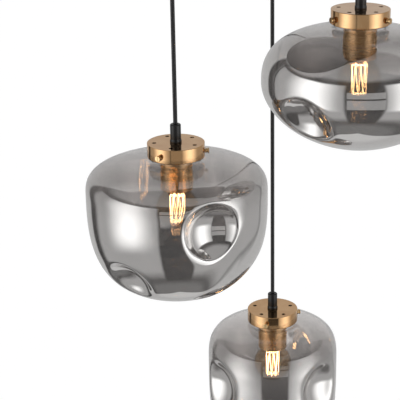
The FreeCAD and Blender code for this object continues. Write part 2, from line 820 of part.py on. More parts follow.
def make_shade(glass, dents):
    """The blown shade: outer and inner skins joined by the ground rim, with a flat base."""
    neck, body = shade_outline(glass)
    outline = neck + body[1:]
    faces = []
    rims = []
    for wall in (0.0, glass_wall):
        line = moved_inward(outline, wall) if wall else outline
        neck_skin = glass_surface(evenly(line[:len(neck)], neck_spans), [], wall)
        body_skin = glass_surface(evenly(line[len(neck) - 1:], body_spans), dents, wall)
        base = Part.Face(Part.Wire(body_skin.vIso(body_spans).toShape()))
        faces += [neck_skin.toShape(), body_skin.toShape(), base]
        rims.append(Part.Wire(neck_skin.vIso(0).toShape()))
    faces.append(Part.makeFace(rims, "Part::FaceMakerBullseye"))
    shell = Part.Compound(faces)
    shell.sewShape()
    solid = Part.Solid(shell.Shells[0])
    if solid.Volume < 0:
        solid.reverse()
    return solid


def make_neck_band():
    """Soft band round the neck that the thumbscrews press on."""
    return ring(neck_radius + running, band_radius, -band_top, -band_top - band_height)


# ---------------------------------------------------------------- build and export

os.makedirs("parts", exist_ok=True)

export("canopy", [make_canopy()])
export("ceiling_bracket", [make_bracket()])
export("canopy_screws", make_canopy_screws())
export("bracket_screws", make_bracket_screws())
export("terminal_block", [make_terminal_block()])
export("terminal_clamps", make_terminal_clamps())
export("inner_wiring", make_inner_wiring())
grip = make_canopy_grip()
stem_nut = nut(nut_flats, -stem_nut_top, nut_height, stem_hole_radius)
export("canopy_grips", [placed(grip, *exit_of(lamp), 0) for lamp in lamps])
export("canopy_grip_nuts", [placed(stem_nut, *exit_of(lamp), 0) for lamp in lamps])

shared_pieces = {
    "cord_grip": [make_cord_grip()],
    "grip_screw": [make_clamp_screw()],
    "nipple_and_nuts": make_nipple_and_nuts(),
    "sleeve": [make_sleeve()],
    "lampholder": [make_lampholder()],
    "socket_contacts": make_socket_contacts(),
    "conductors": make_conductors(),
    "bulb_glass": make_bulb_glass(),
    "bulb_cap": make_bulb_cap(),
    "filament": make_filament(),
    "neck_band": [make_neck_band()],
}

for lamp, plan in lamps.items():
    x, y = exit_of(lamp)
    pieces = dict(shared_pieces)
    pieces["cord"] = [make_hanging_cord(plan["drop"])]
    pieces["cap"] = [make_cap(plan["first_vent"], plan["first_screw"])]
    pieces["shade"] = [make_shade(plan["glass"], plan["dents"])]
    for count in range(thumbscrew_count):
        degrees = plan["first_screw"] + 360 * count / thumbscrew_count
        pieces["thumbscrew_" + str(count + 1)] = [make_thumbscrew(degrees)]
    for name, solids in pieces.items():
        export(lamp + "_" + name, [placed(solid, x, y, -plan["drop"]) for solid in solids])
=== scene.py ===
# %% [markdown]
# # Cluster pendant
# Three lamps of dented, smoke-grey glass hang on black cords from one round canopy. The working
# model, with its joints, comes from the part file. This lesson loads it as a fixed frame and gives
# it its looks: smooth glass, polished brass, glowing filaments and a soft studio round it.

import math

import bpy
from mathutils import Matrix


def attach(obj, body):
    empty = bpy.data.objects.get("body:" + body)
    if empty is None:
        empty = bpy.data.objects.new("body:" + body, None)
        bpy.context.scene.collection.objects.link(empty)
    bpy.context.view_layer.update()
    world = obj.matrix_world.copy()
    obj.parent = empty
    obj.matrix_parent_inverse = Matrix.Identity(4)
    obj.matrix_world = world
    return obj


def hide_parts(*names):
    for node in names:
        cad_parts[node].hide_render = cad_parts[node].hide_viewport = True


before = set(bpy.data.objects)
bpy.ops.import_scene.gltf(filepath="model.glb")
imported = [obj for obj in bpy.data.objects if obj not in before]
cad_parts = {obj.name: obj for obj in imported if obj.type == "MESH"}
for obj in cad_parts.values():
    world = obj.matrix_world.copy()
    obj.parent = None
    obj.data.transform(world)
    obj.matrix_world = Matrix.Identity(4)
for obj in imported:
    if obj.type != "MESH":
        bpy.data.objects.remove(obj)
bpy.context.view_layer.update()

# %% [markdown]
# ## The camera
# The picture looks as if it was taken with a long lens from a little above the lamps, and then
# cut from a wider one. So the camera looks down by about 20 degrees, stays level, and its frame
# is shifted sideways instead of turned. That keeps the cords as they lean in the picture.

# %% Camera
pitch = 19.9
camera_data = bpy.data.cameras.new("camera")
camera_data.sensor_width = 36.0
camera_data.lens = 126.0
camera_data.shift_x = -0.1875
camera = bpy.data.objects.new("camera", camera_data)
camera.location = (0.009, -1.914, 0.189)
camera.rotation_euler = (math.radians(90 - pitch), 0, 0)
bpy.context.scene.collection.objects.link(camera)
bpy.context.scene.camera = camera
print("camera looks down", pitch, "degrees")

# %% [markdown]
# ## Where things are
# Every lamp has its own little frame: x and y of its cord, and the height of its cap's top face.
# The glass is described as the glassblower would: how wide, how far above and below the widest
# place, how square each half, and the balls that pressed its dents. A dent gives its direction in
# degrees, then the ball's distance from the axis, its height, its radius and how softly the rim
# rolls over. `mouth`, where the cords leave the canopy, and the lamps' places are measured from
# the ceiling. The other heights are measured from the top face of the lamp's cap. All lengths
# are metres.

# %% Places and sizes
mouth = -0.054
grip_top = 0.0265
cord_end = -0.0115
lamps = {
    "bowl": {
        "place": (-0.12803, -0.06807, -0.394), "first_vent": -27, "first_screw": 0,
        "radius": 0.127, "middle": -0.072, "above": 0.045, "below": 0.147,
        "square_above": 3.2, "square_below": 2.9,
        "dents": [(-64, 0.145, -0.092, 0.046, 0.012), (-126, 0.132, -0.192, 0.0485, 0.012),
                  (-36, 0.473, -0.322, 0.400, 0.020), (50, 0.250, -0.070, 0.131, 0.010)],
    },
    "oval": {
        "place": (0.12297, -0.07684, -0.205), "first_vent": 21, "first_screw": 87,
        "radius": 0.133, "middle": -0.101, "above": 0.076, "below": 0.090,
        "square_above": 2.6, "square_below": 1.85,
        "dents": [(-128.5, 0.145, -0.144, 0.049, 0.012), (-128.5, 0.137, 0.036, 0.094, 0.012),
                  (20, 0.190, -0.110, 0.075, 0.012)],
    },
    "jar": {
        "place": (0.00506, 0.14491, -0.741), "first_vent": 18, "first_screw": 16,
        "radius": 0.104, "middle": -0.091, "above": 0.067, "below": 0.175,
        "square_above": 3.7, "square_below": 3.35,
        "dents": [(-146, 0.139, -0.114, 0.057, 0.012), (-40.5, 0.139, -0.112, 0.057, 0.012),
                  (120, 0.124, -0.243, 0.053, 0.012), (70, 0.141, -0.120, 0.053, 0.012)],
    },
}
print("lamps:", ", ".join(lamps))

# %% [markdown]
# ## The cords
# Each lamp hangs on a round black flex, six millimetres thick, that carries its weight and so is
# quite straight. It is a smooth curve with a round bevel. It starts in the mouth of the canopy's
# grip, where it can swing, and goes through the lamp's own grip into the threaded stem.

# %% Cords
cord_radius = 0.003
straight_end = 0.036
cords = {}
for lamp, plan in lamps.items():
    x, y, z = plan["place"]
    foot = z + cord_end
    heights = [mouth, mouth - straight_end, (mouth + foot) / 2, z + grip_top + straight_end, foot]
    flex = bpy.data.curves.new(lamp + "_flex", "CURVE")
    flex.dimensions = "3D"
    line = flex.splines.new("NURBS")
    line.points.add(len(heights) - 1)
    for point, height in zip(line.points, heights):
        point.co = (x, y, height, 1)
    line.order_u = 3
    line.use_endpoint_u = True
    flex.bevel_depth = cord_radius
    flex.bevel_resolution = 6
    flex.use_fill_caps = True
    cord = bpy.data.objects.new(lamp + "_flex", flex)
    bpy.context.scene.collection.objects.link(cord)
    cords[lamp] = cord
    print(lamp, "cord", round(mouth - foot, 4), "m")

# %% [markdown]
# ## Writing node trees as sums
# Shader and geometry trees are drawn with boxes and wires, but a formula reads better as a
# formula. `Value` wraps one output socket, and its plus, minus and so on add Math nodes.
# `Graph.add` makes any other node: its type, its settings, then what goes into its sockets.

# %% Node helpers
class Value:
    """One output of a node. Arithmetic on it adds Math nodes to its tree."""

    def __init__(self, graph, socket):
        self.graph = graph
        self.socket = socket

    def also(self, name):
        return Value(self.graph, self.socket.node.outputs[name])

    def __add__(self, other):
        return self.graph.maths("ADD", self, other)

    def __radd__(self, other):
        return self.graph.maths("ADD", other, self)

    def __sub__(self, other):
        return self.graph.maths("SUBTRACT", self, other)

    def __rsub__(self, other):
        return self.graph.maths("SUBTRACT", other, self)

    def __mul__(self, other):
        return self.graph.maths("MULTIPLY", self, other)

    def __rmul__(self, other):
        return self.graph.maths("MULTIPLY", other, self)

    def __truediv__(self, other):
        return self.graph.maths("DIVIDE", self, other)

    def __pow__(self, other):
        return self.graph.maths("POWER", self, other)


class Graph:
    """A node tree that is being written."""

    def __init__(self, tree):
        self.tree = tree

    def add(self, kind, settings=None, inputs=None, output=0):
        node = self.tree.nodes.new(kind)
        for name, value in (settings or {}).items():
            setattr(node, name, value)
        for name, value in (inputs or {}).items():
            if isinstance(value, Value):
                self.tree.links.new(value.socket, node.inputs[name])
            else:
                node.inputs[name].default_value = value
        return Value(self, node.outputs[output]) if node.outputs else None

    def maths(self, operation, *terms):
        return self.add("ShaderNodeMath", {"operation": operation}, dict(enumerate(terms)))

    def vectors(self, operation, *terms, output=0):
        return self.add("ShaderNodeVectorMath", {"operation": operation}, dict(enumerate(terms)), output)

    def mix(self, factor, first, second):
        inputs = {0: factor, 6: first, 7: second}
        return self.add("ShaderNodeMix", {"data_type": "RGBA"}, inputs, 2)

    def smooth(self, value, low, high, to_low=0.0, to_high=1.0):
        inputs = {"Value": value, "From Min": low, "From Max": high, "To Min": to_low, "To Max": to_high}
        return self.add("ShaderNodeMapRange", {"interpolation_type": "SMOOTHSTEP"}, inputs)


print("node helpers ready")

# %% [markdown]
# ## Finishes
# A finish starts from the surface's own place, in metres, so that grain and marks have their real
# size. `finish` opens an empty material, `noise` gives cloudy variation at a chosen size, and
# `principled` closes the material with Blender's general shader.

# %% Finish helpers
def finish(name):
    material = bpy.data.materials.new(name)
    material.use_nodes = True
    material.node_tree.nodes.clear()
    return material, Graph(material.node_tree)


def place_of(graph, scale):
    place = graph.add("ShaderNodeTexCoord", output="Object")
    return graph.add("ShaderNodeMapping", {}, {"Vector": place, "Scale": scale})


def noise(graph, scale, detail=3, roughness=0.55, stretch=(1, 1, 1)):
    inputs = {"Vector": place_of(graph, stretch), "Scale": scale, "Detail": detail, "Roughness": roughness}
    return graph.add("ShaderNodeTexNoise", {"noise_dimensions": "3D"}, inputs)


def bump(graph, height, strength, distance):
    return graph.add("ShaderNodeBump", {}, {"Height": height, "Strength": strength, "Distance": distance})


def close(graph, shader):
    graph.add("ShaderNodeOutputMaterial", {}, {"Surface": shader})


def principled(graph, **sockets):
    inputs = {name.replace("_", " "): value for name, value in sockets.items()}
    return graph.add("ShaderNodeBsdfPrincipled", {}, inputs)


def colour(red, green, blue):
    return (red, green, blue, 1.0)


finishes = {}
print("finish helpers ready")

# %% [markdown]
# ### Black finishes
# The flex is smooth PVC with a faint lengthwise drawing from the machine that coats it. The grips
# are moulded nylon, a little duller. The canopy is steel with a fine powder coat, whose tiny
# orange-peel dimples break its gloss. All blacks are really very dark greys.

# %% Black finishes
def black_finish(name, shade, roughness, grain, stretch, strength, distance):
    material, graph = finish(name)
    cloud = noise(graph, 60, 4)
    fine = noise(graph, grain, 3, 0.6, stretch)
    darker = colour(*[0.75 * part for part in shade])
    paler = colour(*[1.3 * part for part in shade])
    tone = graph.mix(cloud, darker, paler)
    rough = roughness + (fine - 0.5) * 0.18 + (cloud - 0.5) * 0.12
    close(graph, principled(graph, Base_Color=tone, Roughness=rough,
                            Normal=bump(graph, fine, strength, distance)))
    finishes[name] = material


black_finish("cord_black", (0.012, 0.012, 0.013), 0.36, 500, (1, 1, 0.06), 0.25, 0.0004)
black_finish("grip_black", (0.010, 0.010, 0.011), 0.30, 900, (1, 1, 1), 0.12, 0.0003)
black_finish("wire_black", (0.014, 0.014, 0.015), 0.42, 500, (1, 1, 1), 0.2, 0.0004)
black_finish("holder_black", (0.016, 0.015, 0.014), 0.34, 300, (1, 1, 1), 0.15, 0.0004)
black_finish("canopy_black", (0.018, 0.018, 0.019), 0.42, 700, (1, 1, 1), 0.35, 0.0004)
print("black finishes:", len(finishes))

# %% [markdown]
# ### Brass
# The caps, sleeves and thumbscrews are plated in a warm rose-gold brass under clear lacquer. What
# sells polished brass is a slight unevenness: hairlines left by turning and buffing, clouds where
# the lacquer is thicker, and a tone that goes a little redder in places. The other metals, zinc,
# steel, copper and nickel, follow the same recipe. The sleeves' brass is painted paler than the
# caps', as painted light that stands in for the light the smoked glass keeps from them.

# %% Brass finishes
def metal_finish(name, light, dark, roughness, hairline, stretch, strength=0.08):
    material, graph = finish(name)
    cloud = noise(graph, 45, 3)
    lines = noise(graph, hairline, 2, 0.6, stretch)
    tone = graph.mix(graph.smooth(cloud, 0.3, 0.7), colour(*dark), colour(*light))
    rough = roughness + (lines - 0.5) * 0.12 + (cloud - 0.5) * 0.1
    close(graph, principled(graph, Base_Color=tone, Metallic=1.0, Roughness=rough,
                            Normal=bump(graph, lines, strength, 0.0003)))
    finishes[name] = material


metal_finish("cap_brass", (0.74, 0.465, 0.24), (0.66, 0.39, 0.19), 0.1, 260, (0.05, 0.05, 6), 0.03)
metal_finish("thumbscrew_brass", (0.84, 0.60, 0.32), (0.74, 0.49, 0.25), 0.2, 900, (1, 1, 1))
# Painted light: the sleeve's brass is painted paler than the cap's, standing in for light that the smoked
# glass keeps from it.
metal_finish("sleeve_brass", (1.0, 0.69, 0.40), (0.97, 0.58, 0.29), 0.26, 260, (0.05, 0.05, 6), 0.03)
metal_finish("terminal_brass", (0.72, 0.50, 0.22), (0.60, 0.40, 0.17), 0.34, 900, (1, 1, 1))
metal_finish("contact_brass", (0.70, 0.48, 0.22), (0.58, 0.38, 0.17), 0.32, 900, (1, 1, 1))
metal_finish("core_copper", (0.78, 0.36, 0.20), (0.66, 0.28, 0.15), 0.30, 900, (1, 1, 0.1))
metal_finish("bracket_zinc", (0.56, 0.57, 0.58), (0.42, 0.43, 0.45), 0.42, 220, (0.2, 4, 1))
metal_finish("stem_zinc", (0.56, 0.55, 0.50), (0.45, 0.44, 0.40), 0.36, 700, (0.1, 0.1, 3))
metal_finish("screw_steel", (0.40, 0.40, 0.41), (0.28, 0.28, 0.29), 0.34, 700, (1, 1, 1))
metal_finish("bulb_cap_nickel", (0.62, 0.60, 0.55), (0.50, 0.48, 0.44), 0.26, 700, (0.1, 0.1, 3))
print("metal finishes ready")

# %% [markdown]
# ### Nylon and silicone
# The terminal block is white nylon, which lets in a little light. The band under each cap is
# silicone, painted near black as painted shade under the cap. Both are plain, with faint
# cloudiness and a fine moulded grain.

# %% Plastic finishes
def plastic_finish(name, light, dark, roughness, glow):
    material, graph = finish(name)
    cloud = noise(graph, 90, 3)
    fine = noise(graph, 1200, 2)
    tone = graph.mix(cloud, colour(*dark), colour(*light))
    close(graph, principled(graph, Base_Color=tone, Roughness=roughness + (fine - 0.5) * 0.2,
                            Subsurface_Weight=glow, Subsurface_Scale=0.002,
                            Normal=bump(graph, fine, 0.15, 0.0003)))
    finishes[name] = material


plastic_finish("terminal_nylon", (0.80, 0.80, 0.77), (0.70, 0.70, 0.66), 0.45, 0.2)
# Painted shade: the neck band is painted near black for the shade under the cap.
plastic_finish("band_silicone", (0.10, 0.095, 0.09), (0.07, 0.066, 0.062), 0.55, 0.05)
print("plastic finishes ready")

# %% [markdown]
# ### Smoked glass
# The shades are grey glass with a thin metal film on the outside that mirrors part of the light.
# The body is grey glass, which bends light. The outer face mixes it with a mirror, whose share
# grows towards the foot and at grazing angles as on the real film. The inner face is bare.
# Real glass bends light with an index of 1.5. Here it is 1.3, which keeps the view through the
# shoulder as open as in the picture. Shadow rays pass, a little dimmed, so that light can reach
# the brass inside.

# %% Glass finishes
def film_over_glass(graph, share, tint, film, hill):
    """Grey glass that bends light, under a metal film that mirrors a share of it."""
    clear = principled(graph, Base_Color=tint, Roughness=0.0, IOR=1.3, Transmission_Weight=1.0, Normal=hill)
    mirror = principled(graph, Base_Color=film, Roughness=0.02, Metallic=1.0, Normal=hill)
    return graph.add("ShaderNodeMixShader", {}, {0: share, 1: clear, 2: mirror})


def let_lamps_through(graph, body, tint):
    passed = graph.add("ShaderNodeBsdfTransparent", {}, {"Color": tint})
    is_shadow = graph.add("ShaderNodeLightPath", output="Is Shadow Ray")
    return graph.add("ShaderNodeMixShader", {}, {0: is_shadow, 1: body, 2: passed})


material, graph = finish("smoked_glass")
depth = graph.add("ShaderNodeAttribute", {"attribute_name": "down"}, output="Fac")
ripple = noise(graph, 18, 2, 0.5, (1, 1, 0.6))
hill = bump(graph, ripple, 1.0, 0.0005)
facing = graph.add("ShaderNodeLayerWeight", {}, {"Blend": 0.35, "Normal": hill}, "Facing")
outside = graph.add("ShaderNodeAttribute", {"attribute_name": "outside"}, output="Fac")
share_by_depth = graph.smooth(depth, 0.18, 0.44, 0.0, 0.64)
share_by_angle = facing ** 3 * 0.06
share = (share_by_depth + share_by_angle) * outside
pale_smoke = colour(0.84, 0.825, 0.815)
dark_smoke = colour(0.52, 0.495, 0.485)
tint = graph.mix(graph.smooth(depth, 0.15, 0.5), pale_smoke, dark_smoke)
body = film_over_glass(graph, share, tint, colour(0.95, 0.935, 0.92), hill)
close(graph, let_lamps_through(graph, body, colour(0.75, 0.75, 0.75)))
finishes["smoked_glass"] = material

material, graph = finish("bulb_glass")
hill = bump(graph, noise(graph, 40, 2), 1.0, 0.0001)
clear = principled(graph, Base_Color=colour(0.94, 0.80, 0.64), Roughness=0.0, IOR=1.45,
                   Transmission_Weight=1.0, Normal=hill)
close(graph, let_lamps_through(graph, clear, colour(0.98, 0.98, 0.97)))
finishes["bulb_glass"] = material
print("glass finishes ready")

# %% [markdown]
# ### The glowing filament
# The filament is thin wire heated to a warm yellow. Its glow changes a little from place to place
# along the wire, so a fine noise mixes a deeper and a paler orange.

# %% Filament finish
material, graph = finish("filament_wire")
flicker = noise(graph, 300, 2)
glow = graph.mix(flicker, colour(1.0, 0.60, 0.28), colour(1.0, 0.78, 0.48))
close(graph, principled(graph, Base_Color=colour(0.2, 0.12, 0.06), Roughness=0.5,
                        Emission_Color=glow, Emission_Strength=13.0))
finishes["filament_wire"] = material
print("finishes:", len(finishes))

# %% [markdown]
# ### Dress the frame
# Every node of the frame has one record slot, and so one finish. The nodes keep their own meshes.

# %% Finishes on the frame's nodes
endings = {
    "canopy": "canopy_black", "ceiling_bracket": "bracket_zinc", "canopy_screws": "screw_steel",
    "bracket_screws": "screw_steel", "terminal_block": "terminal_nylon",
    "terminal_clamps": "terminal_brass", "inner_wiring": "wire_black",
    "canopy_grips": "grip_black", "canopy_grip_nuts": "stem_zinc",
    "cord": "cord_black", "cord_grip": "grip_black", "grip_screw": "screw_steel",
    "cap": "cap_brass", "thumbscrew_1": "thumbscrew_brass", "thumbscrew_2": "thumbscrew_brass",
    "thumbscrew_3": "thumbscrew_brass", "nipple_and_nuts": "stem_zinc", "sleeve": "sleeve_brass",
    "lampholder": "holder_black", "socket_contacts": "contact_brass", "conductors": "core_copper",
    "bulb_glass": "bulb_glass", "bulb_cap": "bulb_cap_nickel", "filament": "filament_wire",
    "shade": "smoked_glass", "neck_band": "band_silicone",
}
for name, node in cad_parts.items():
    ending = name
    for lamp in lamps:
        ending = ending.removeprefix(lamp + "_")
    node.data.materials.clear()
    node.data.materials.append(finishes[endings[ending]])
print("dressed", len(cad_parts), "nodes")

# %% [markdown]
# ### The cords take their places
# Each cord rides on a body of its own, which swings at the canopy's grip. Its far end is in the
# lamp's stem, so it goes back into the object. It stands for the frame's own cord.

# %% Cords on their bodies
for lamp, cord in cords.items():
    x, y, z = lamps[lamp]["place"]
    cord.data.materials.append(finishes["cord_black"])
    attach(cord, lamp + "_hanging_cord")
    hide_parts(lamp + "_cord")
    mouth - z - cord_end
print("cords declared:", len(cords))

# %% [markdown]
# ## Turning an outline
# Glass, caps and sleeves are all round bodies with a rule: an outline turned about an axis. A
# geometry tree does that once for all of them. It lays a grid, one column for each step round and
# one row for each point of the outline, and moves each grid point to its place.

# %% Lathe tree
weld_reach = 1e-6
crease = math.radians(35)


def group_input(tree, name, kind, value=None):
    socket = tree.interface.new_socket(name=name, in_out="INPUT", socket_type="NodeSocket" + kind)
    if value is not None:
        socket.default_value = value
    return socket.identifier


def open_tree(name):
    tree = bpy.data.node_groups.new(name, "GeometryNodeTree")
    group_input(tree, "Outline", "Geometry")
    tree.interface.new_socket(name="Mesh", in_out="OUTPUT", socket_type="NodeSocketGeometry")
    names = {
        "Columns": group_input(tree, "Columns", "Int", 96),
        "Place": group_input(tree, "Place", "Vector"),
        "Lean": group_input(tree, "Lean", "Rotation"),
        "Finish": group_input(tree, "Finish", "Material"),
    }
    return tree, names


def turned_grid(graph, source):
    """The outline's points, as (radius, wall, height), laid round the axis on a grid."""
    outline = source.also("Outline")
    rows = graph.add("GeometryNodeAttributeDomainSize", {"component": "MESH"},
                     {"Geometry": outline}, "Point Count")
    grid = graph.add("GeometryNodeMeshGrid", {}, {
        "Size X": 1.0, "Size Y": 1.0, "Vertices X": source.also("Columns"), "Vertices Y": rows})
    position = graph.add("GeometryNodeInputPosition")
    spot = graph.add("ShaderNodeSeparateXYZ", {}, {0: position}, "X")
    row = graph.maths("ROUND", (spot.also("Y") + 0.5) * (rows - 1))
    point = graph.add("GeometryNodeSampleIndex", {"data_type": "FLOAT_VECTOR"},
                      {"Geometry": outline, "Value": position, "Index": row})
    part = graph.add("ShaderNodeSeparateXYZ", {}, {0: point}, "X")
    turn = (spot + 0.5) * (2 * math.pi)
    radius, wall = part, part.also("Y")
    across = radius * graph.maths("COSINE", turn)
    along = radius * graph.maths("SINE", turn)
    place = graph.add("ShaderNodeCombineXYZ", {}, {"X": across, "Y": along, "Z": part.also("Z")})
    return grid, place, wall, spot.also("Y")


def close_tree(graph, source, mesh):
    """Weld the seam, shade it, place the body, realise it and give it its finish."""
    mesh = graph.add("GeometryNodeMergeByDistance", {}, {"Geometry": mesh, "Distance": weld_reach})
    mesh = graph.add("GeometryNodeSetShadeSmooth", {}, {"Geometry": mesh})
    sharp = graph.maths("GREATER_THAN", graph.add("GeometryNodeInputMeshEdgeAngle"), crease)
    mesh = graph.add("GeometryNodeSetShadeSmooth", {"domain": "EDGE"},
                     {"Geometry": mesh, "Selection": sharp, "Shade Smooth": False})
    mesh = graph.add("GeometryNodeTransform", {}, {
        "Geometry": mesh, "Translation": source.also("Place"), "Rotation": source.also("Lean")})
    mesh = graph.add("GeometryNodeRealizeInstances", {}, {"Geometry": mesh})
    mesh = graph.add("GeometryNodeSetMaterial", {}, {"Geometry": mesh, "Material": source.also("Finish")})
    graph.add("NodeGroupOutput", {}, {"Mesh": mesh})


print("lathe tree helpers ready")

# %% [markdown]
# An outline becomes a chain of points in a plain mesh. The tree runs on it as a modifier, the
# result is kept as a mesh of its own, and the modifier goes. A closed body whose faces came out
# inside out, which a negative volume shows, is turned round.

# %% From outline to mesh
def signed_volume(mesh):
    mesh.calc_loop_triangles()
    total = 0.0
    for face in mesh.loop_triangles:
        a, b, c = (mesh.vertices[index].co for index in face.vertices)
        total += a.dot(b.cross(c)) / 6
    return total


def turn_body(name, points, tree, values):
    chain = bpy.data.meshes.new(name + "_outline")
    chain.from_pydata(points, [(i, i + 1) for i in range(len(points) - 1)], [])
    host = bpy.data.objects.new(name + "_outline", chain)
    bpy.context.scene.collection.objects.link(host)
    lathe = host.modifiers.new("lathe", "NODES")
    lathe.node_group = tree
    for identifier, value in values.items():
        lathe[identifier] = value
    evaluated = host.evaluated_get(bpy.context.evaluated_depsgraph_get())
    mesh = bpy.data.meshes.new_from_object(evaluated)
    mesh.name = name
    host.modifiers.remove(lathe)
    bpy.data.objects.remove(host)
    if signed_volume(mesh) < 0:
        mesh.flip_normals()
    body = bpy.data.objects.new(name, mesh)
    bpy.context.scene.collection.objects.link(body)
    print(name, len(mesh.vertices), "points,", round(signed_volume(mesh) * 1e6, 1), "cm3")
    return body


# %% [markdown]
# ## The glass shades
# Each shade was blown into a round mould and then pressed with balls while it was hot. So its rule
# has two steps. The outline is half a squared-off ellipse above and below the widest place, with a
# straight neck on top and a smooth bend between. Then each ball pushes away every point it meets,
# and the glass rolls softly over the dent's rim. The inner wall follows the outer one, three
# millimetres inside it.

# %% Outline of a shade
glass_wall = 0.003
neck_radius = 0.035
neck_top = 0.003
neck_end = 0.0235
neck_flare = 0.008
neck_rows = 20
bend_rows = 24
upper_rows = 200
lower_rows = 400
point_spacing = 0.0024
rim_clearance = 0.002
rim_parts = 8
shade_columns = 241


def egg_point(glass, angle):
    """A point of the body's outline, from 90 degrees at the top to -90 at the foot."""
    square = glass["square_above"] if angle >= 0 else glass["square_below"]
    height = glass["above"] if angle >= 0 else -glass["below"]
    reach = glass["radius"] * math.cos(angle) ** (2 / square)
    return reach, glass["middle"] + height * abs(math.sin(angle)) ** (2 / square)


def bend(start, start_way, end, end_way, count):
    """A smooth run of points from one place and direction to another."""
    reach = math.dist(start, end)
    points = []
    for row in range(count):
        u = row / count
        a, b = 2 * u ** 3 - 3 * u ** 2 + 1, (u ** 3 - 2 * u ** 2 + u) * reach
        c, d = 3 * u ** 2 - 2 * u ** 3, (u ** 3 - u ** 2) * reach
        points.append(tuple(a * start[axis] + b * start_way[axis] + c * end[axis] + d * end_way[axis]
                            for axis in (0, 1)))
    return points


def shade_outline(glass):
    """(radius, height) points of the outer face, from the neck's top to the middle of the foot."""
    first = math.acos(((neck_radius + neck_flare) / glass["radius"]) ** (glass["square_above"] / 2))
    foot = egg_point(glass, first)
    small_step = 1e-4
    beyond = egg_point(glass, first - small_step)
    step = math.dist(foot, beyond)
    slope = [(beyond[axis] - foot[axis]) / step for axis in (0, 1)]
    neck = neck_end - neck_top
    points = [(neck_radius, -neck_top - neck * row / neck_rows) for row in range(neck_rows)]
    points += bend((neck_radius, -neck_end), (0, -1), foot, slope, bend_rows)
    points += [egg_point(glass, first * (1 - row / upper_rows)) for row in range(upper_rows)]
    points += [egg_point(glass, -math.pi / 2 * row / lower_rows) for row in range(lower_rows)]
    return points + [(0.0, glass["middle"] - glass["below"])]


def evenly(points, spacing):
    """The same line with its points an equal way apart."""
    gone = [0.0]
    for before, here in zip(points, points[1:]):
        gone.append(gone[-1] + math.dist(before, here))
    count = round(gone[-1] / spacing)
    made, index = [], 0
    for row in range(count + 1):
        target = gone[-1] * row / count
        while index < len(gone) - 2 and gone[index + 1] < target:
            index += 1
        share = (target - gone[index]) / (gone[index + 1] - gone[index])
        made.append(tuple(a + (b - a) * share for a, b in zip(points[index], points[index + 1])))
    return made


def glass_outline(glass):
    """(radius, wall, height): up the outer face, over the melted rim and down the inner face."""
    outer = evenly(shade_outline(glass), point_spacing)
    inner = []
    for before, here, after in zip(outer, outer[1:], outer[2:]):
        across, down = after[0] - before[0], after[1] - before[1]
        size = math.hypot(across, down)
        radius, height = here[0] + glass_wall * down / size, here[1] - glass_wall * across / size
        inner.append((radius, glass_wall, height))
    inner = [point for point in inner if point[2] < -neck_top - rim_clearance]
    inner.append((0.0, glass_wall, outer[-1][1] + glass_wall))
    rim = []
    for part in range(1, rim_parts):
        turn = math.pi * part / rim_parts
        rim.append((neck_radius - glass_wall / 2 * (1 - math.cos(turn)), glass_wall * part / rim_parts,
                    -neck_top - glass_wall / 2 * (1 - math.sin(turn))))
    outer = [(radius, 0.0, height) for radius, height in outer if height < -neck_top - rim_clearance]
    return outer[::-1] + rim + inner


print("bowl outline:", len(glass_outline(lamps["bowl"])), "points")

# %% [markdown]
# The dents are worked out in the tree, one ball after another, each with its own centre and size
# as named inputs. Where a point is nearer to the centre than the ball's radius it moves out to the
# radius, and a small term rounds the rim. Two attributes serve the finish: `down` runs from 0 at the
# neck to 1 at the foot, and `outside` is 1 on the outer face and 0 on the inner one.

# %% Shade tree
dent_inputs = (("Centre", "Vector", None), ("Ball", "Float", 0.05), ("Softness", "Float", 0.01))


def shade_tree(count):
    tree, names = open_tree("dented_shade_" + str(count))
    for number in range(1, count + 1):
        for word, kind, value in dent_inputs:
            name = word + " " + str(number)
            names[name] = group_input(tree, name, kind, value)
    graph = Graph(tree)
    source = graph.add("NodeGroupInput")
    mesh, place, wall, along = turned_grid(graph, source)
    for number in range(1, count + 1):
        middle = source.also("Centre " + str(number))
        ball = source.also("Ball " + str(number)) + wall
        soft = source.also("Softness " + str(number))
        away = graph.vectors("SUBTRACT", place, middle)
        size = graph.vectors("LENGTH", away, output="Value")
        near = graph.maths("MAXIMUM", soft - graph.maths("ABSOLUTE", size - ball), 0.0) / soft
        reach = graph.maths("MAXIMUM", size, ball) + near * near * soft / 4
        moved = graph.add("ShaderNodeVectorMath", {"operation": "SCALE"}, {0: away, "Scale": reach / size})
        place = graph.vectors("ADD", middle, moved)
    down = graph.maths("ABSOLUTE", along * 2)
    for name, value in (("down", down), ("outside", 1.0 - wall / glass_wall)):
        mesh = graph.add("GeometryNodeStoreNamedAttribute", {"data_type": "FLOAT", "domain": "POINT"},
                         {"Geometry": mesh, "Name": name, "Value": value})
    mesh = graph.add("GeometryNodeSetPosition", {}, {"Geometry": mesh, "Position": place})
    close_tree(graph, source, mesh)
    return tree, names


for lamp, glass in lamps.items():
    tree, names = shade_tree(len(glass["dents"]))
    values = {
        names["Columns"]: shade_columns, names["Place"]: glass["place"],
        names["Finish"]: finishes["smoked_glass"],
    }
    for number, (azimuth, distance, height, ball, soft) in enumerate(glass["dents"], 1):
        turn = math.radians(azimuth)
        centre = (distance * math.cos(turn), distance * math.sin(turn), height)
        values[names["Centre " + str(number)]] = centre
        values[names["Ball " + str(number)]] = ball
        values[names["Softness " + str(number)]] = soft
    shade = turn_body(lamp + "_blown_glass", glass_outline(glass), tree, values)
    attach(shade, lamp + "_shade_with_band")
    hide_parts(lamp + "_shade")

# %% [markdown]
# ## Turned brass
# The caps, sleeves, grips and thumbscrews come off a lathe too, so their tree begins with the same
# grid. Their outlines are a few corners, in millimetres. A real edge is never knife-sharp, and a
# rounded one catches a thin line of light, so every corner becomes a small curve. Two more points,
# just beside the curve, keep the flat faces flat when they are shaded smooth. A screw's heights
# are distances from the cap's axis, because it is leaned over later.

# %% Rounded outlines
beside_curve = 1.3
curve_points = 5


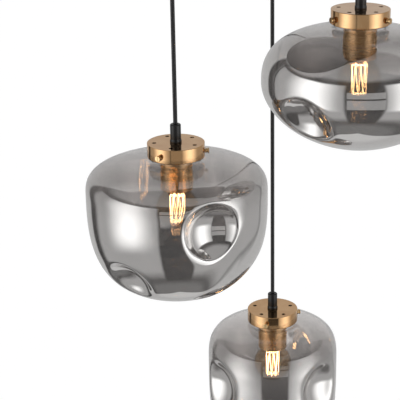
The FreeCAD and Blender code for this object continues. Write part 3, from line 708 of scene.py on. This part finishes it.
def softened(corners, edge, closed=True):
    """(radius, 0, height) points of an outline in millimetres, its corners rounded; out in metres."""
    if closed:
        start = [(a + b) / 2 for a, b in zip(corners[-1], corners[0])]
        corners = [start, *corners, start]
    points = [corners[0]]
    for before, here, after in zip(corners, corners[1:], corners[2:]):
        ends = []
        for other in (before, after):
            away = math.dist(here, other)
            for trim in (min(edge, away / 2), min(beside_curve * edge, away / 2)):
                ends.append([a + (b - a) * trim / away for a, b in zip(here, other)])
        points.append(ends[1])
        for step in range(curve_points):
            u = step / (curve_points - 1)
            points.append([(1 - u) ** 2 * a + 2 * u * (1 - u) * b + u * u * c
                           for a, b, c in zip(ends[0], here, ends[2])])
        points.append(ends[3])
    points.append(corners[-1])
    return [(r / 1000, 0.0, z / 1000) for r, z in points]


cord_hole, stem_hole = 3.05, 5.05
grip_radius, grip_height, grip_chamfer = 7.5, 26.5, 1.2
grip_foot, foot_top, flare_top, stem_depth = 8.2, 2.5, 5.0, 8.05
grip_corners = [
    (cord_hole, grip_height), (grip_radius - grip_chamfer, grip_height),
    (grip_radius, grip_height - grip_chamfer), (grip_radius, flare_top), (grip_foot, foot_top),
    (grip_foot, 0), (stem_hole, 0), (stem_hole, stem_depth), (cord_hole, stem_depth),
]
cap_radius, cap_height, cap_wall = 40, 20, 1.5
cap_corners = [
    (stem_hole, 0), (cap_radius, 0), (cap_radius, -cap_height),
    (cap_radius - cap_wall, -cap_height), (cap_radius - cap_wall, -cap_wall), (stem_hole, -cap_wall),
]
sleeve_radius, sleeve_wall, sleeve_top, sleeve_foot = 22.5, 1, -6, -66.7
sleeve_corners = [
    (stem_hole, sleeve_top), (sleeve_radius, sleeve_top), (sleeve_radius, sleeve_foot),
    (sleeve_radius - sleeve_wall, sleeve_foot), (sleeve_radius - sleeve_wall, sleeve_top - sleeve_wall),
    (stem_hole, sleeve_top - sleeve_wall),
]
shank_radius, rim_radius, waist_radius = 2, 4, 2.8
screw_tip, head_start, waist_start, waist_end, head_end = 36.3, 40.8, 42.4, 44.2, 45.8
screw_corners = [
    (0, screw_tip), (shank_radius, screw_tip), (shank_radius, head_start), (rim_radius, head_start),
    (rim_radius, waist_start), (waist_radius, waist_start), (waist_radius, waist_end),
    (rim_radius, waist_end), (rim_radius, head_end), (0, head_end),
]
cap_edge, sleeve_edge, grip_edge, screw_edge = 0.8, 0.4, 0.5, 0.3
print("cap outline:", len(softened(cap_corners, cap_edge)), "points")

# %% [markdown]
# A cap has five vents in its top and three screw holes in its side; a thumbscrew has one slot.
# These repeat round the axis, so the tree puts a cutter on each of a few points that turn with
# their number, and takes them all away at once. A count of zero leaves the body whole.

# %% Turned tree with cutters
screw_drop = 0.012
drill_length = 0.008
slot_size = (0.012, 0.0008, 0.0016)
cut_inputs = (
    ("Vents", "Int", 0), ("First vent", "Float", 0.0), ("Vent radius", "Float", 0.003),
    ("Vent circle", "Float", 0.03), ("Side holes", "Int", 0), ("First hole", "Float", 0.0),
    ("Hole radius", "Float", 0.00205), ("Hole height", "Float", -screw_drop),
    ("Side", "Float", cap_radius / 1000), ("Slots", "Int", 0), ("Slot height", "Float", head_end / 1000),
)


def cutters(graph, tool, count, first):
    """Copies of a tool, turned round the axis at equal steps from the first direction."""
    spots = graph.add("GeometryNodeMeshLine", {}, {"Count": count, "Offset": (0, 0, 0)})
    steps = graph.maths("MAXIMUM", count, 1)
    turn = graph.add("GeometryNodeInputIndex") * (2 * math.pi) / steps + first
    angles = graph.add("ShaderNodeCombineXYZ", {}, {"Z": turn})
    turned = graph.add("FunctionNodeEulerToRotation", {}, {0: angles})
    copies = graph.add("GeometryNodeInstanceOnPoints", {},
                       {"Points": spots, "Instance": tool, "Rotation": turned})
    return graph.add("GeometryNodeRealizeInstances", {}, {"Geometry": copies})


def moved_tool(graph, tool, distance, height, lean=0.0):
    spot = graph.add("ShaderNodeCombineXYZ", {}, {"X": distance, "Z": height})
    return graph.add("GeometryNodeTransform", {},
                     {"Geometry": tool, "Translation": spot, "Rotation": (0, lean, 0)})


def turned_tree():
    tree, names = open_tree("turned_body")
    for name, kind, value in cut_inputs:
        names[name] = group_input(tree, name, kind, value)
    graph = Graph(tree)
    source = graph.add("NodeGroupInput")
    grid, place = turned_grid(graph, source)[:2]
    body = graph.add("GeometryNodeSetPosition", {}, {"Geometry": grid, "Position": place})
    body = graph.add("GeometryNodeMergeByDistance", {}, {"Geometry": body, "Distance": weld_reach})
    vent = graph.add("GeometryNodeMeshCylinder", {}, {
        "Vertices": 40, "Radius": source.also("Vent radius"), "Depth": drill_length})
    hole = graph.add("GeometryNodeMeshCylinder", {}, {
        "Vertices": 32, "Radius": source.also("Hole radius"), "Depth": drill_length})
    slot = graph.add("GeometryNodeMeshCube", {}, {"Size": slot_size})
    vent = moved_tool(graph, vent, source.also("Vent circle"), 0.0)
    hole = moved_tool(graph, hole, source.also("Side"), source.also("Hole height"), math.pi / 2)
    slot = moved_tool(graph, slot, 0.0, source.also("Slot height"))
    tools = [
        cutters(graph, vent, source.also("Vents"), source.also("First vent")),
        cutters(graph, hole, source.also("Side holes"), source.also("First hole")),
        cutters(graph, slot, source.also("Slots"), 0.0),
    ]
    cut = tree.nodes.new("GeometryNodeMeshBoolean")
    cut.operation = "DIFFERENCE"
    cut.solver = "EXACT"
    tree.links.new(body.socket, cut.inputs["Mesh 1"])
    for tool in tools:
        tree.links.new(tool.socket, cut.inputs["Mesh 2"])
    close_tree(graph, source, Value(graph, cut.outputs["Mesh"]))
    return tree, names


lathe_tree, lathe_names = turned_tree()


def turn_piece(name, corners, edge, body, node, slot, place, closed=True, columns=97, **inputs):
    """A turned piece that takes a frame node's place and rides on its body."""
    values = {lathe_names["Columns"]: columns, lathe_names["Place"]: place,
              lathe_names["Finish"]: finishes[slot]}
    for key, value in inputs.items():
        values[lathe_names[key.replace("_", " ")]] = value
    piece = turn_body(name, softened(corners, edge, closed), lathe_tree, values)
    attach(piece, body)
    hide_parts(node)


print("turned tree:", len(lathe_tree.nodes), "nodes")

# %% [markdown]
# ### Caps, sleeves and grips
# The cap's edge is the roundest, as its brass was rolled over a former. The vents show the dark
# inside of the cap. The grip is moulded, with a flared foot and a chamfered top round the cord.

# %% Caps, sleeves and grips
for lamp, plan in lamps.items():
    place = plan["place"]
    head = lamp + "_lamp_head"
    turn_piece(lamp + "_turned_cap", cap_corners, cap_edge, head, lamp + "_cap", "cap_brass", place,
               Vents=5, First_vent=math.radians(plan["first_vent"]),
               Side_holes=3, First_hole=math.radians(plan["first_screw"]))
    turn_piece(lamp + "_turned_sleeve", sleeve_corners, sleeve_edge, head, lamp + "_sleeve",
               "sleeve_brass", place)
    turn_piece(lamp + "_moulded_grip", grip_corners, grip_edge, head, lamp + "_cord_grip",
               "grip_black", place, columns=49)

# %% [markdown]
# ### Thumbscrews
# Each has a waist between two rims, so that fingers can pull and turn it, and a slot for a
# screwdriver. It is turned upright on the axis, then leaned over and turned to its own direction.

# %% Thumbscrews
for lamp, plan in lamps.items():
    x, y, z = plan["place"]
    for number in (1, 2, 3):
        turn = math.radians(plan["first_screw"] + 120 * (number - 1))
        turn_piece("%s_waisted_screw_%d" % (lamp, number), screw_corners, screw_edge,
                   "%s_screw_%d" % (lamp, number), "%s_thumbscrew_%d" % (lamp, number),
                   "thumbscrew_brass", (x, y, z - screw_drop), closed=False, columns=41,
                   Lean=(0, math.pi / 2, turn), Slots=1)

# %% [markdown]
# ## The studio
# Polished glass and brass show the room more than themselves. The picture's reflections look like
# two very large soft lights, one on each side, which fade towards their edges. Between them is a
# dark gap where the camera stood, with a paler window in it. A grey backdrop stands behind the lamps,
# and the ceiling and the ground are dim. The world can say all that by the direction a ray leaves
# in: its angle round from the camera's side, and its height. A ray that comes straight from the
# camera, or through clear glass alone, sees plain white instead.

# %% World
world = bpy.data.worlds.new("studio")
bpy.context.scene.world = world
world.use_nodes = True
world.node_tree.nodes.clear()
graph = Graph(world.node_tree)


def straight_through(graph):
    """1 for rays that come from the camera straight or through clear glass alone."""
    path = graph.add("ShaderNodeLightPath", output="Is Camera Ray")
    bounced = path.also("Glossy Depth") + path.also("Diffuse Depth")
    through = path.also("Is Transmission Ray") * graph.maths("LESS_THAN", bounced, 0.5)
    return graph.maths("MINIMUM", path + through, 1.0)


def band(graph, value, edges):
    """1 between the two inner edges, falling softly to 0 at the outer ones."""
    rise_from, rise_to, fall_from, fall_to = edges
    return graph.smooth(value, rise_from, rise_to) * graph.smooth(value, fall_from, fall_to, 1.0, 0.0)


generated = graph.add("ShaderNodeTexCoord", output="Generated")
across = graph.add("ShaderNodeSeparateXYZ", {}, {0: generated}, "X")
along, up = across.also("Y"), across.also("Z")
turn = graph.maths("ARCTAN2", across, along * -1) * (180 / math.pi)
round_angle = graph.maths("ABSOLUTE", turn)

softbox_glow, core_glow, pane_glow, room_glow = 0.40, 1.35, 0.33, 0.06
left_light = band(graph, turn, (-124, -112, -23, -17))
right_light = band(graph, turn, (25, 31, 128, 136))
light_height = band(graph, up, (-0.92, -0.72, 0.42, 0.50))
core = band(graph, round_angle, (21, 61, 61, 101)) * band(graph, up, (-0.56, -0.38, 0.40, 0.50))
softbox = (left_light + right_light) * light_height * (softbox_glow + core_glow * core)
window = band(graph, turn, (-18, -16, 26, 28)) * band(graph, up, (-0.37, -0.35, 0.15, 0.17))
glazing_bar = band(graph, up, (-0.13, -0.12, -0.08, -0.07))
pane = window * (1 - glazing_bar) * pane_glow
backdrop = graph.smooth(round_angle, 131, 137) * graph.smooth(up, 0.80, 0.86, 0.5, 0.0)
ceiling = graph.smooth(up, 0.55, 0.75) * 0.32
ground = graph.smooth(up, -0.96, -0.86, 0.14, 0.0)
room = softbox + pane + backdrop + ceiling + ground + room_glow
grey = graph.add("ShaderNodeCombineXYZ", {}, {"X": room, "Y": room, "Z": room})
sky = graph.mix(straight_through(graph), grey, colour(1, 1, 1))
background = graph.add("ShaderNodeBackground", {}, {"Color": sky, "Strength": 1.0})
graph.add("ShaderNodeOutputWorld", {}, {"Surface": background})
print("world ready")

# %% [markdown]
# The floor is pale and plain. Straight from the camera it is mostly its own white, and the rest is
# lit, so that it keeps a faint shadow.

# %% Floor
floor_mesh = bpy.data.meshes.new("floor")
reach, level = 9.0, -1.7
corners = [(x * reach, y * reach, level) for x, y in ((-1, -1), (1, -1), (1, 1), (-1, 1))]
floor_mesh.from_pydata(corners, [], [(0, 1, 2, 3)])
floor = bpy.data.objects.new("floor", floor_mesh)
bpy.context.scene.collection.objects.link(floor)
material, graph = finish("pale_floor")
speckle = noise(graph, 3, 2)
pale = graph.mix(speckle, colour(0.86, 0.86, 0.86), colour(0.90, 0.90, 0.90))
lit = graph.add("ShaderNodeBsdfDiffuse", {}, {"Color": pale})
white = graph.add("ShaderNodeEmission", {}, {"Color": colour(1, 1, 1), "Strength": 1.05})
own_white = straight_through(graph) * 0.93
close(graph, graph.add("ShaderNodeMixShader", {}, {0: own_white, 1: lit, 2: white}))
floor_mesh.materials.append(material)
floor.visible_glossy = False
floor.visible_transmission = False
print("floor ready")

# %% [markdown]
# ## Last settings
# Colours are shown as they are written.

# %% Finish
bpy.context.scene.view_settings.view_transform = "Standard"
bpy.context.view_layer.update()
